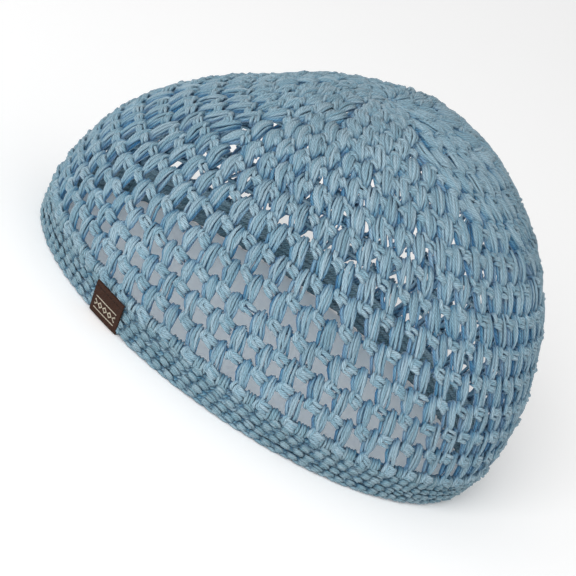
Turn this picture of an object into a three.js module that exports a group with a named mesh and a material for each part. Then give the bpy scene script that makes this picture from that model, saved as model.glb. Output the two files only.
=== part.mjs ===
// A crocheted skullcap: an openwork crown, a dense edge band and a small folded label tab.
// Millimetres, +Z up. The rim stands on the plane z = 0 and the long way, brow to nape, runs along X.

import * as THREE from 'three';

// Driving dimensions
const CROWN_WALL = 3.2;        // thickness of the puff-stitch fabric
const BAND_WALL = 3.0;         // thickness of the single-crochet edge
const BAND_HEIGHT = 14.0;
const SEAM_GAP = 0.3;          // clearance kept between neighbouring pieces
const COLUMNS = 56;            // facets round the cap
const GAP_EDGE_DROP = 0.7;     // how far the bars round a gap fall away at their edges
const GAP_WAIST = 0.16;        // how far a gap widens at half height, in columns

// Outer face of the cap, ring by ring from the crown's centre to the rim.
// height: the ring's middle above the rim. shift: its middle along X.
// rise: how far the ring's +X end stands above its middle, because the crown's centre sits off the top.
const RINGS = [
  { height: 107.3, half_length: 0.0, half_width: 0.0, shift: -11.0, rise: 0.0 },
  { height: 107.6, half_length: 20.4, half_width: 19.6, shift: -7.8, rise: 5.5 },
  { height: 102.7, half_length: 36.6, half_width: 34.2, shift: -4.9, rise: 7.8 },
  { height: 93.0, half_length: 51.6, half_width: 47.3, shift: -2.4, rise: 8.6 },
  { height: 82.0, half_length: 66.4, half_width: 59.8, shift: -1.2, rise: 8.0 },
  { height: 65.9, half_length: 80.8, half_width: 71.4, shift: -0.8, rise: 6.6 },
  { height: 50.5, half_length: 89.5, half_width: 78.1, shift: -0.7, rise: 4.6 },
  { height: 34.0, half_length: 94.9, half_width: 82.0, shift: 0.0, rise: 2.6 },
  { height: BAND_HEIGHT, half_length: 96.6, half_width: 83.3, shift: 0.0, rise: 0.0 },
  { height: 0.0, half_length: 94.0, half_width: 80.9, shift: -1.0, rise: 0.0 },
];
const BAND_TOP_RING = RINGS.length - 2;
const RIM_RING = RINGS.length - 1;

// The soft bump beside the crown's centre, where the fabric stands a little proud
const BUMP = { x: -1.0, y: 13.0, height: 2.0, spread: 10.0 };

// Rows of gaps in the net, as distances up the front of the crown from the band
const GAP_ROWS = [
  { bottom: 5.5, top: 17.5 },
  { bottom: 25.5, top: 37.5 },
  { bottom: 45.5, top: 56.5 },
  { bottom: 64.5, top: 73.5 },
];

const NET_TOP = 78;            // where the closed top begins, up the front of the crown

// Rings of facets on the closed top, as distances up the front, with the facets each one has
const CLOSED_RINGS = [
  { up: 85, facets: COLUMNS },
  { up: 94, facets: COLUMNS },
  { up: 104, facets: COLUMNS / 2 },
  { up: 115, facets: COLUMNS / 2 },
  { up: 126, facets: COLUMNS / 4 },
  { up: 135, facets: COLUMNS / 4 },
];

// Section of the edge band, one row for each corner: distance in from the outer face, and height.
// The outer face has five rounds of stitches, each a shallow ridge.
const BAND_RIDGES = 5;
const GROOVE_DEPTH = 0.45;
const BAND_FOOT = { outer: 0.8, inner: 2.6 };   // the flat underside, as distances in
const BAND_CORNER = 0.7;       // height over which the band's edges are eased

// Label tab: a strip folded up over the rim, its ends turned in, so each leaf is two layers of weave
const LABEL = {
  turn: 239.3,                 // place round the cap, in degrees from +X
  width: 14.4,
  thickness: 1.0,
  outer_top: 12.4,
  inner_top: 10.5,
  fold_bottom: 0.1,
  fold_corner: 0.9,            // size of the bevels that round the fold
  lean: 0.16,                  // sideways drift of a leaf for each millimetre of height
  strips: 6,
};

// The band's underside is lifted over the fold, with a little room above it and beside it
const NOTCH = { height: LABEL.fold_bottom + LABEL.thickness + 0.4, side: 1.6, ramp: 0.5 };

const COLOURS = { crown: 0x8db3ce, edge_band: 0x82a8c0, label_tab: 0x3d251b };

// The smooth outer face

// A smooth value between two rows of the table, with the slopes that their neighbours give
function blend(before, from, to, after, step) {
  const slopeFrom = (to - before) / 2;
  const slopeTo = (after - from) / 2;
  const square = 3 * (to - from) - 2 * slopeFrom - slopeTo;
  const cube = 2 * (from - to) + slopeFrom + slopeTo;
  return from + step * (slopeFrom + step * (square + step * cube));
}

// Past the crown's centre the table goes on as its own mirror image, and past the rim straight on

function ringRow(index) {
  if (index < 0) {
    const row = RINGS[-index];
    return { ...row, half_length: -row.half_length, half_width: -row.half_width, rise: -row.rise };
  }
  if (index > RIM_RING) {
    const extended = {};
    for (const column of Object.keys(RINGS[RIM_RING])) {
      extended[column] = 2 * RINGS[RIM_RING][column] - RINGS[RIM_RING - 1][column];
    }
    return extended;
  }
  return RINGS[index];
}

// `place` is a row number of the table, and may lie between two rows
function ringAt(place) {
  const index = Math.min(Math.floor(place), RIM_RING - 1);
  const rows = [-1, 0, 1, 2].map((offset) => ringRow(index + offset));
  const ring = {};
  for (const column of Object.keys(RINGS[0])) {
    ring[column] = blend(...rows.map((row) => row[column]), place - index);
  }
  return ring;
}

function facePoint(place, angle) {
  const ring = ringAt(place);
  const x = ring.shift + ring.half_length * Math.cos(angle);
  const y = ring.half_width * Math.sin(angle);
  const fromBump = (x - BUMP.x) ** 2 + (y - BUMP.y) ** 2;
  const bump = BUMP.height * Math.exp(-fromBump / (2 * BUMP.spread ** 2));
  return new THREE.Vector3(x, y, ring.height + ring.rise * Math.cos(angle) + bump);
}

// Straight out of the fabric, from two short steps along the face
function faceNormal(place, angle) {
  const step = 0.02;           // in radians round the cap, and in rows down it
  const along = facePoint(place, angle + step).sub(facePoint(place, angle - step));
  const down = facePoint(place + step, angle).sub(facePoint(place - step, angle));
  return down.cross(along).normalize();
}

function crownPoint(place, angle, depth) {
  return facePoint(place, angle).addScaledVector(faceNormal(place, angle), -depth);
}

// Distances up the front of the crown, turned into places in the table of rings
const FRONT = -Math.PI / 2;
const FRONT_STEPS = 320;
const FRONT_PLACES = [];
let climbed = 0;
for (let step = 0; step <= FRONT_STEPS; step += 1) {
  const place = BAND_TOP_RING * (1 - step / FRONT_STEPS);
  const last = FRONT_PLACES.at(-1);
  climbed += last ? facePoint(place, FRONT).distanceTo(facePoint(last.place, FRONT)) : 0;
  FRONT_PLACES.push({ place, climbed });
}

function placeUpFront(distance) {
  const index = Math.max(1, FRONT_PLACES.findIndex((sample) => sample.climbed >= distance));
  const [before, after] = [FRONT_PLACES[index - 1], FRONT_PLACES[index]];
  const share = (distance - before.climbed) / (after.climbed - before.climbed);
  return before.place + share * (after.place - before.place);
}

// Closed meshes from rings of corners

function addRing(points, count, makePoint) {
  const ring = [];
  for (let column = 0; column < count; column += 1) {
    ring.push(points.push(makePoint(column)) - 1);
  }
  return ring;
}

function addQuad(faces, a, b, c, d) {
  faces.push(a, b, c, a, c, d);
}

// Facets between a lower ring and the next one up, which has as many corners or half as many
function joinRings(faces, lower, upper, outward) {
  const ratio = lower.length / upper.length;
  for (let column = 0; column < lower.length; column += 1) {
    const next = (column + 1) % lower.length;
    const above = upper[Math.floor(column / ratio)];
    const nextAbove = upper[Math.floor(next / ratio)];
    const corners = [lower[column], lower[next], nextAbove, above];
    const distinct = corners.filter((corner, index) => corners.indexOf(corner) === index);
    if (!outward) {
      distinct.reverse();
    }
    for (let fan = 2; fan < distinct.length; fan += 1) {
      faces.push(distinct[0], distinct[fan - 1], distinct[fan]);
    }
  }
}

function closedGeometry(points, faces) {
  const geometry = new THREE.BufferGeometry().setFromPoints(points);
  geometry.setIndex(faces);
  geometry.computeVertexNormals();
  return geometry;
}

// Crown: an outer and an inner skin, with the gaps of the net cut through both

function netLines() {
  const lines = [{ up: 0, drop: 0 }];
  GAP_ROWS.forEach((row, index) => {
    const below = index > 0 ? GAP_ROWS[index - 1].top : 0;
    lines.push({ up: (below + row.bottom) / 2, drop: 0 });
    lines.push({ up: row.bottom, drop: GAP_EDGE_DROP, gapRow: index });
    lines.push({ up: (row.bottom + row.top) / 2, drop: GAP_EDGE_DROP, gapRow: index, waist: index });
    lines.push({ up: row.top, drop: GAP_EDGE_DROP });
  });
  lines.push({ up: NET_TOP, drop: 0 });
  return lines;
}

// Odd columns hold the gaps in every second row, so that the rows lie like bricks
function isGap(line, column) {
  return line.gapRow !== undefined && column % 2 === line.gapRow % 2;
}

function columnAngle(line, column) {
  const widened = line.waist === undefined ? 0 : GAP_WAIST * (column % 2 === line.waist % 2 ? -1 : 1);
  return (2 * Math.PI * (column + widened)) / COLUMNS;
}

function crownGeometry() {
  const points = [];
  const faces = [];
  const lines = netLines();
  const skins = [0, CROWN_WALL].map((depth) => lines.map((line) => addRing(points, COLUMNS, (column) => (
    crownPoint(placeUpFront(line.up), columnAngle(line, column), depth > 0 ? depth : line.drop)))));
  const [outer, inner] = skins;
  for (let row = 0; row + 1 < lines.length; row += 1) {
    for (let column = 0; column < COLUMNS; column += 1) {
      addNetCell(faces, lines, outer, inner, row, column);
    }
  }
  joinSkins(faces, outer[0], inner[0]);
  addClosedTop(points, faces, outer.at(-1), 0, true);
  addClosedTop(points, faces, inner.at(-1), CROWN_WALL, false);
  return closedGeometry(points, faces);
}

// One cell of the net: a facet on each skin, or nothing where a gap is, with walls towards the gaps
function addNetCell(faces, lines, outer, inner, row, column) {
  if (isGap(lines[row], column)) {
    return;
  }
  const next = (column + 1) % COLUMNS;
  const previous = (column + COLUMNS - 1) % COLUMNS;
  const [low, high] = [outer[row], outer[row + 1]];
  const [inLow, inHigh] = [inner[row], inner[row + 1]];
  addQuad(faces, low[column], low[next], high[next], high[column]);
  addQuad(faces, inLow[next], inLow[column], inHigh[column], inHigh[next]);
  if (isGap(lines[row], next)) {
    addQuad(faces, low[next], inLow[next], inHigh[next], high[next]);
  }
  if (isGap(lines[row], previous)) {
    addQuad(faces, inLow[column], low[column], high[column], inHigh[column]);
  }
  if (row + 1 < lines.length - 1 && isGap(lines[row + 1], column)) {
    addQuad(faces, high[column], high[next], inHigh[next], inHigh[column]);
  }
  if (row > 0 && isGap(lines[row - 1], column)) {
    addQuad(faces, low[next], low[column], inLow[column], inLow[next]);
  }
}

function joinSkins(faces, outer, inner) {
  for (let column = 0; column < outer.length; column += 1) {
    const next = (column + 1) % outer.length;
    addQuad(faces, outer[next], outer[column], inner[column], inner[next]);
  }
}

function addClosedTop(points, faces, lowest, depth, outward) {
  let lower = lowest;
  for (const { up, facets } of CLOSED_RINGS) {
    const place = placeUpFront(up);
    const pitch = (2 * Math.PI) / facets;
    const upper = addRing(points, facets, (column) => crownPoint(place, pitch * column, depth));
    joinRings(faces, lower, upper, outward);
    lower = upper;
  }
  const centre = facePoint(0, 0);
  centre.z -= depth;
  joinRings(faces, lower, [points.push(centre) - 1], outward);
}

// Edge band and label: sections carried round the rim

// A point of the band: `inward` is level, from the outer face at that height
function bandPoint(angle, inward, height) {
  const place = BAND_TOP_RING + 1 - height / BAND_HEIGHT;
  const ring = ringAt(place);
  const [along, across] = [Math.cos(angle), Math.sin(angle)];
  const out = new THREE.Vector3(along / ring.half_length, across / ring.half_width, 0).normalize();
  const point = new THREE.Vector3(ring.shift + ring.half_length * along, ring.half_width * across, height);
  return point.addScaledVector(out, -inward);
}

function bandSection(footHeight) {
  const top = BAND_HEIGHT - SEAM_GAP;
  const pitch = top / BAND_RIDGES;
  const section = [{ inward: BAND_FOOT.outer, height: footHeight }];
  for (let ridge = 0; ridge < BAND_RIDGES; ridge += 1) {
    section.push({ inward: 0, height: Math.max(pitch * (ridge + 0.5), footHeight + BAND_CORNER) });
    section.push({ inward: GROOVE_DEPTH, height: pitch * (ridge + 1) });
  }
  section.push({ inward: BAND_WALL - GROOVE_DEPTH, height: top });
  section.push({ inward: BAND_WALL, height: top - BAND_CORNER });
  section.push({ inward: BAND_WALL, height: footHeight + BAND_CORNER });
  section.push({ inward: BAND_FOOT.inner, height: footHeight });
  return section;
}

const LABEL_ANGLE = THREE.MathUtils.degToRad(LABEL.turn);

// How far round the cap a small step along the rim goes, near the label
const LABEL_RADIUS = (() => {
  const step = 0.01;
  const chord = bandPoint(LABEL_ANGLE + step, 0, 0).distanceTo(bandPoint(LABEL_ANGLE - step, 0, 0));
  return chord / (2 * step);
})();

// Places round the band where its section is set, with extra ones at the notch
function bandStations() {
  const reach = LABEL.width / 2 + NOTCH.side;
  const clear = reach + 2 * NOTCH.ramp;
  const stations = [];
  for (let column = 0; column < COLUMNS; column += 1) {
    const angle = (2 * Math.PI * column) / COLUMNS;
    if (Math.abs(angle - LABEL_ANGLE) * LABEL_RADIUS > clear) {
      stations.push({ angle, foot: 0 });
    }
  }
  for (const offset of [-reach, 0, reach]) {
    stations.push({ angle: LABEL_ANGLE + offset / LABEL_RADIUS, foot: NOTCH.height });
  }
  for (const offset of [-reach - NOTCH.ramp, reach + NOTCH.ramp]) {
    stations.push({ angle: LABEL_ANGLE + offset / LABEL_RADIUS, foot: 0 });
  }
  return stations.sort((one, other) => one.angle - other.angle);
}

function bandGeometry() {
  const points = [];
  const faces = [];
  const loops = bandStations().map(({ angle, foot }) => {
    const section = bandSection(foot);
    return addRing(points, section.length, (index) => {
      const { inward, height } = section[index];
      return bandPoint(angle, inward, height);
    });
  });
  loops.forEach((loop, index) => {
    joinRings(faces, loop, loops[(index + 1) % loops.length], false);
  });
  return closedGeometry(points, faces);
}

// The tab's section: up the outside, under the rim and up the inside
function labelSection() {
  const outside = -SEAM_GAP - LABEL.thickness;
  const inside = BAND_WALL + SEAM_GAP + LABEL.thickness;
  const low = LABEL.fold_bottom;
  const floor = low + LABEL.thickness;
  const corner = LABEL.fold_corner;
  const innerCorner = corner / 2;
  const outerBack = outside + LABEL.thickness;
  const innerBack = inside - LABEL.thickness;
  return [
    { inward: outside, height: LABEL.outer_top },
    { inward: outside, height: low + corner },
    { inward: outside + corner, height: low },
    { inward: inside - corner, height: low },
    { inward: inside, height: low + corner },
    { inward: inside, height: LABEL.inner_top },
    { inward: innerBack, height: LABEL.inner_top },
    { inward: innerBack, height: floor + innerCorner },
    { inward: innerBack - innerCorner, height: floor },
    { inward: outerBack + innerCorner, height: floor },
    { inward: outerBack, height: floor + innerCorner },
    { inward: outerBack, height: LABEL.outer_top },
  ];
}

// The two leaves lean away from the fold on opposite sides, as a strip folded askew does
function labelGeometry() {
  const points = [];
  const faces = [];
  const loops = [];
  const section = labelSection();
  for (let strip = 0; strip <= LABEL.strips; strip += 1) {
    const across = LABEL.width * (strip / LABEL.strips - 0.5);
    loops.push(addRing(points, section.length, (index) => {
      const { inward, height } = section[index];
      const drift = LABEL.lean * height * (inward < BAND_WALL / 2 ? -1 : 1);
      return bandPoint(LABEL_ANGLE + (across + drift) / LABEL_RADIUS, inward, height);
    }));
  }
  for (let strip = 0; strip < LABEL.strips; strip += 1) {
    joinRings(faces, loops[strip], loops[strip + 1], true);
  }
  capLeaf(faces, loops[0], false);
  capLeaf(faces, loops.at(-1), true);
  return closedGeometry(points, faces);
}

// The cut end of the folded strip: its section pairs off from both ends of the list
function capLeaf(faces, loop, outward) {
  const last = loop.length - 1;
  for (let step = 0; step + 1 < loop.length / 2; step += 1) {
    const quad = [loop[step], loop[step + 1], loop[last - step - 1], loop[last - step]];
    addQuad(faces, ...(outward ? quad : quad.reverse()));
  }
}

// Assembly

function piece(name, geometry, roughness) {
  const material = new THREE.MeshStandardMaterial({ color: COLOURS[name], roughness, metalness: 0 });
  const mesh = new THREE.Mesh(geometry, material);
  mesh.name = name;
  return mesh;
}

const skullcap = new THREE.Group();
skullcap.add(piece('crown', crownGeometry(), 0.85));
skullcap.add(piece('edge_band', bandGeometry(), 0.85));
skullcap.add(piece('label_tab', labelGeometry(), 0.75));

export default skullcap;
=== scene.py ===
# %% [markdown]
# # A crocheted skullcap, laid stitch by stitch
#
# The cap is worked in rounds from the middle of the crown with light blue mercerised cotton. The crown
# is an open net of puff stitches, the edge is five rounds of single crochet, and a small dark brown
# woven label is folded over the rim. A crocheted surface could be faked with a bump map, but a net lets
# light through and shows its yarn from every side. So each stitch here is a bundle of real strands,
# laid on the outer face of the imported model.

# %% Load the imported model
import math
from collections import namedtuple
from functools import cache

import bmesh
import bpy
import numpy as np
from mathutils import Matrix, Vector


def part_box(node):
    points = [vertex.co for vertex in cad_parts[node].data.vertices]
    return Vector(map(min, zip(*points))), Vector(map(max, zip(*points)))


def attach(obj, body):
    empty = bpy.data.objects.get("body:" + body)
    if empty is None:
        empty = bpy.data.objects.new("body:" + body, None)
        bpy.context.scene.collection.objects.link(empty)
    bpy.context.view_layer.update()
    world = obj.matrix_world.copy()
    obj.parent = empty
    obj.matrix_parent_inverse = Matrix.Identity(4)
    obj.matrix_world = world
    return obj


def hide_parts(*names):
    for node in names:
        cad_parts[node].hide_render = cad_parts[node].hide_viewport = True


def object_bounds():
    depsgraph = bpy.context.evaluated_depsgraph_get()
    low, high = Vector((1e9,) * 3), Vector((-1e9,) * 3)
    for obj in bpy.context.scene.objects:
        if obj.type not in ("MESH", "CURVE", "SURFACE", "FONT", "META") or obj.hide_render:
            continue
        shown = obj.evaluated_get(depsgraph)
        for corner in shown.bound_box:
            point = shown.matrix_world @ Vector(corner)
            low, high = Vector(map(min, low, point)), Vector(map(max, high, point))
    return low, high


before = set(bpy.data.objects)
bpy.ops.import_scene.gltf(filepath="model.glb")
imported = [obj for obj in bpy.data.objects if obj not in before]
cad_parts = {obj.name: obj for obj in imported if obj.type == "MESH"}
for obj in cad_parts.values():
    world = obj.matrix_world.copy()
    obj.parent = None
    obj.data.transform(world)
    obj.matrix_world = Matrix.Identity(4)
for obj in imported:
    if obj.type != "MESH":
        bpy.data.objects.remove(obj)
MM = 0.001
cad_low, cad_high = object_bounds()
print("packed nodes", sorted(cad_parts))
print("cap", [round(side / MM, 1) for side in cad_high - cad_low], "mm")

# %% [markdown]
# ## The camera
#
# The cap stands on its rim and the camera is rolled instead, so the picture keeps the slant that a cap
# has on a tilted head. A long lens from 1.2 m keeps the perspective as flat as in a product picture.

# %% Camera
SENSOR = 36.0                  # mm
PICTURE_PIXELS = 576
PICTURE_SCALE = 0.37           # mm of cap for each pixel
CAMERA_DISTANCE = 1200.0       # mm
CAMERA_ELEVATION = math.radians(20)
CAMERA_ROLL = math.radians(35.2)
AIMED_POINT = Vector((0, 0, 45))       # mm, a point inside the cap
AIMED_RIGHT = 33.2             # pixels right of the picture's middle where that point shows
AIMED_UP = 36.8                # pixels above it


def add_camera():
    level = Vector((1, 0, 0))
    back = Vector((0, -math.cos(CAMERA_ELEVATION), math.sin(CAMERA_ELEVATION)))
    upward = back.cross(level)
    right = level * math.cos(CAMERA_ROLL) + upward * math.sin(CAMERA_ROLL)
    up = back.cross(right)
    offset = (right * AIMED_RIGHT + up * AIMED_UP) * PICTURE_SCALE
    place = (AIMED_POINT - offset + back * CAMERA_DISTANCE) * MM
    turn = Matrix((right, up, back)).transposed().to_4x4()
    data = bpy.data.cameras.new("camera")
    data.sensor_width = SENSOR
    data.lens = SENSOR * CAMERA_DISTANCE / (PICTURE_PIXELS * PICTURE_SCALE)
    camera = bpy.data.objects.new("camera", data)
    camera.matrix_world = Matrix.Translation(place) @ turn
    bpy.context.scene.collection.objects.link(camera)
    bpy.context.scene.camera = camera
    print("lens", round(data.lens, 1), "mm")


add_camera()

# %% [markdown]
# ## The face that the stitches lie on
#
# The cap's outer face is a smooth blend through ten rings, from the middle of the crown to the rim. The
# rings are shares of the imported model's box, so the stitches follow it if its size changes. `place` is a
# ring number, which may lie between two rings, and `angle` goes round the cap from the fuller end.

# %% The rings
Ring = namedtuple("Ring", "height length width shift rise")
RINGS = [
    Ring(0.9468, 0.0000, 0.0000, -0.1138, 0.0000),
    Ring(0.9494, 0.2111, 0.2352, -0.0807, 0.0485),
    Ring(0.9062, 0.3787, 0.4104, -0.0507, 0.0688),
    Ring(0.8206, 0.5339, 0.5676, -0.0248, 0.0759),
    Ring(0.7236, 0.6871, 0.7176, -0.0124, 0.0706),
    Ring(0.5815, 0.8361, 0.8568, -0.0083, 0.0582),
    Ring(0.4456, 0.9261, 0.9372, -0.0072, 0.0406),
    Ring(0.3000, 0.9820, 0.9840, 0.0000, 0.0229),
    Ring(0.1235, 1.0000, 1.0000, 0.0000, 0.0000),
    Ring(0.0000, 0.9727, 0.9708, -0.0103, 0.0000),
]
BAND_RING = 8
RIM_RING = 9

half_length = (cad_high.x - cad_low.x) / 2 / MM
half_width = (cad_high.y - cad_low.y) / 2 / MM
tall = cad_high.z / MM
ring_sizes = np.array(RINGS) * [tall, half_length, half_width, half_length, tall]
beyond_centre = ring_sizes[1] * [1, -1, -1, 1, -1]
beyond_rim = 2 * ring_sizes[-1] - ring_sizes[-2]
ring_rows = np.vstack([beyond_centre, ring_sizes, beyond_rim])
print("widest ring", np.round(2 * ring_sizes[BAND_RING, 1:3], 1), "mm")


# %% Points of the face
BUMP_PLACE = (-1.0, 13.0)      # mm, beside the crown's middle
BUMP_HEIGHT = 2.0
BUMP_SPREAD = 10.0


def blend(before, start, end, after, step):
    """A smooth value between start and end, with the slopes that their neighbours give."""
    slope_start = (end - before) / 2
    slope_end = (after - start) / 2
    square = 3 * (end - start) - 2 * slope_start - slope_end
    cube = 2 * (start - end) + slope_start + slope_end
    return start + step * (slope_start + step * (square + step * cube))


def ring_at(place):
    """The ring at a place between two rows of the table, in mm."""
    index = np.clip(np.floor(place).astype(int), 0, RIM_RING - 1)
    step = (place - index)[..., None]
    return blend(*(ring_rows[index + offset] for offset in range(4)), step)


def face(place, angle):
    """Points of the outer face, in mm."""
    height, length, width, shift, rise = np.moveaxis(ring_at(place), -1, 0)
    x = shift + length * np.cos(angle)
    y = width * np.sin(angle)
    from_bump = (x - BUMP_PLACE[0]) ** 2 + (y - BUMP_PLACE[1]) ** 2
    bump = BUMP_HEIGHT * np.exp(-from_bump / (2 * BUMP_SPREAD ** 2))
    return np.stack([x, y, height + rise * np.cos(angle) + bump], axis=-1)


print("middle of the crown", np.round(face(np.zeros(1), np.zeros(1))[0], 1), "mm")


# %% Directions on the face
FRONT = -math.pi / 2
FACE_STEP = 0.02


def unit(vectors):
    return vectors / np.maximum(np.linalg.norm(vectors, axis=-1, keepdims=True), 1e-9)


def face_along(place, angle):
    """How the face runs round the cap there, in mm for each radian."""
    return (face(place, angle + FACE_STEP) - face(place, angle - FACE_STEP)) / (2 * FACE_STEP)


def face_speed(place, angle):
    return np.linalg.norm(face_along(place, angle), axis=-1)


def face_down(place, angle):
    return face(place + FACE_STEP, angle) - face(np.maximum(place - FACE_STEP, 0), angle)


def face_out(place, angle):
    place = np.maximum(place, FACE_STEP)
    return unit(np.cross(face_down(place, angle), face_along(place, angle)))


print("out of the band's front", np.round(face_out(np.array([BAND_RING]), np.array([FRONT]))[0], 2))


# %% Walking down the front
WALK_SAMPLES = 1000
front_places = np.linspace(0, RIM_RING + 0.5, WALK_SAMPLES)
front_steps = np.diff(face(front_places, np.full(WALK_SAMPLES, FRONT)), axis=0)
front_walk = np.concatenate([[0], np.cumsum(np.linalg.norm(front_steps, axis=1))])


def place_at(walked):
    """The ring number reached after walking that many mm down the front from the crown's middle."""
    return np.interp(walked, front_walk, front_places)


walk_to_band = float(np.interp(BAND_RING, front_places, front_walk))
walk_to_rim = float(np.interp(RIM_RING, front_places, front_walk))
print("down the front:", round(walk_to_band, 1), "mm to the band,", round(walk_to_rim, 1), "to the rim")

# %% [markdown]
# ## How a strand of yarn is made
#
# A strand could be a curve with a bevel, but the cap has more than ten thousand of them, and curves are
# slow to make and to convert. So one straight tube is made with bmesh, and copies of its corners are
# laid along every centre-line with arrays. Each copy has only a few dozen faces. A strand carries a UV
# map, round it and along it in millimetres, for its twist, and two values for its colour: a painted
# shade, from how deep it lies in the fabric and which way each corner faces, and its own random shade.

# %% One straight tube
Tube = namedtuple("Tube", "ring cosine sine corners starts around")


@cache
def straight_tube(sides, rings):
    """A closed tube along Z with a ring of corners at each whole millimetre, as arrays."""
    tube = bmesh.new()
    bmesh.ops.create_cone(tube, cap_ends=True, segments=sides, radius1=1, radius2=1, depth=rings - 1)
    long_edges = [edge for edge in tube.edges if abs(edge.verts[0].co.z - edge.verts[1].co.z) > 0.5]
    bmesh.ops.subdivide_edges(tube, edges=long_edges, cuts=rings - 2)
    bmesh.ops.translate(tube, verts=tube.verts, vec=(0, 0, (rings - 1) / 2))
    bmesh.ops.recalc_face_normals(tube, faces=tube.faces)
    tube.verts.index_update()
    places = np.array([vertex.co for vertex in tube.verts])
    turn = np.arctan2(places[:, 1], places[:, 0])
    share = np.round(turn / (2 * math.pi) % 1, 4) % 1
    corners, starts, around = [], [], []
    for polygon in tube.faces:
        starts.append(len(corners))
        ids = [vertex.index for vertex in polygon.verts]
        shares = share[ids]
        over_seam = len(ids) == 4 and shares.max() - shares.min() > 0.5
        corners.extend(ids)
        around.extend(np.where(shares < 0.5, shares + 1, shares) if over_seam else shares)
    tube.free()
    return Tube(
        np.round(places[:, 2]).astype(int), np.cos(turn), np.sin(turn),
        np.array(corners), np.array(starts), np.array(around),
    )


print("a strand of 9 rings with 6 sides has", len(straight_tube(6, 9).starts), "faces")


# %% Strands laid on the face
FABRIC_DEPTH = 3.2             # mm through the crochet
YARN_CREST = 0.9               # mm out of the face at which a strand has its lightest colour, with painted shade below it
PAINTED_SHADE_REACH = 2.5              # mm under either side at which it has its deepest painted shade
OWN_PAINTED_SHADE = 1.8                # how much more a strand's own flanks count than how deep it lies, for the painted shade
GIRTHS = (0.86, 1.12)          # the thinnest and the thickest strand, as shares of the usual one
TWIST_STARTS = 50.0            # mm of yarn within which a strand's twist starts somewhere
SHORT_ROUND = 0.45             # of the length of a strand's own round; on shorter ones strands run together
Strands = namedtuple("Strands", "points cover shade tube along")
randoms = np.random.default_rng(20)


def through(knots, count):
    """Smooth centre-lines through knots, an array of (strands, knots, 3), with count points each."""
    first = 2 * knots[:, :1] - knots[:, 1:2]
    last = 2 * knots[:, -1:] - knots[:, -2:-1]
    rows = np.concatenate([first, knots, last], axis=1)
    place = np.linspace(0, knots.shape[1] - 1, count)
    index = np.minimum(place.astype(int), knots.shape[1] - 2)
    step = (place - index)[None, :, None]
    return blend(*(rows[:, index + offset] for offset in range(4)), step)


def tapered(rings, tip):
    """How thick a strand is at each ring, as a share: full in the middle and narrower at its ends."""
    swell = np.sin(np.linspace(0, math.pi, rings)).clip(0) ** 0.5
    return tip + (1 - tip) * swell


def tube_along(centre, out, depth, reference, radius, sides):
    """Tubes along centre-lines, with each corner's painted shade, from how deep it lies and which way it
    faces, and each strand's own random shade.
    """
    tube = straight_tube(sides, centre.shape[1])
    tangent = unit(np.gradient(centre, axis=1))
    reference = reference[:, None]
    side = unit(reference - tangent * np.sum(reference * tangent, axis=-1, keepdims=True))
    top = np.cross(tangent, side)
    ring = tube.ring
    offset = side[:, ring] * tube.cosine[:, None] + top[:, ring] * tube.sine[:, None]
    offset = offset * radius[:, ring, None]
    # painted shade: darker on a strand's flanks and underside, and darkest midway through the fabric
    level = depth[:, ring] + OWN_PAINTED_SHADE * np.sum(offset * out[:, ring], axis=-1)
    cover = np.minimum(YARN_CREST - level, FABRIC_DEPTH + level) / PAINTED_SHADE_REACH
    steps = np.linalg.norm(np.diff(centre, axis=1), axis=-1)
    walked = np.concatenate([np.zeros((len(centre), 1)), np.cumsum(steps, axis=1)], axis=1)
    walked += randoms.uniform(0, TWIST_STARTS, (len(centre), 1))
    shade = np.broadcast_to(randoms.uniform(-1, 1, (len(centre), 1)), cover.shape)
    return Strands(centre[:, ring] + offset, np.clip(cover, 0, 1), shade, tube, walked[:, ring])


def lay(paths, walked, angles, radius, rings, upright, sides=6, tip=0.6, radial=0.0):
    """Strands along paths, an array of (strands, knots, 3) in mm: across, down and out of the face.

    walked and angles say where on the cap each strand's own zero is. With radial=1 strands that are
    parallel on paper run together towards the crown's middle.
    """
    line = through(paths, rings)
    place = place_at(walked[:, None] + line[..., 1])
    middle = np.broadcast_to(angles[:, None], place.shape)
    speed = face_speed(place, middle)
    own_speed = np.median(speed, axis=1, keepdims=True)
    speed = np.maximum(speed + (own_speed - speed) * radial, SHORT_ROUND * own_speed)
    angle = middle + line[..., 0] / speed
    out = face_out(place, angle)
    centre = face(place, angle) + out * line[..., 2:]
    own_place = place_at(walked)
    direction = face_along if upright else face_down
    reference = unit(direction(own_place, angles))
    own = np.broadcast_to(radius, angles.shape) * randoms.uniform(*GIRTHS, len(angles))
    return tube_along(centre, out, line[..., 2], reference, own[:, None] * tapered(rings, tip), sides)


# %% One mesh of many strands
def joined(values):
    return np.concatenate([value.ravel() for value in values])


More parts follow.
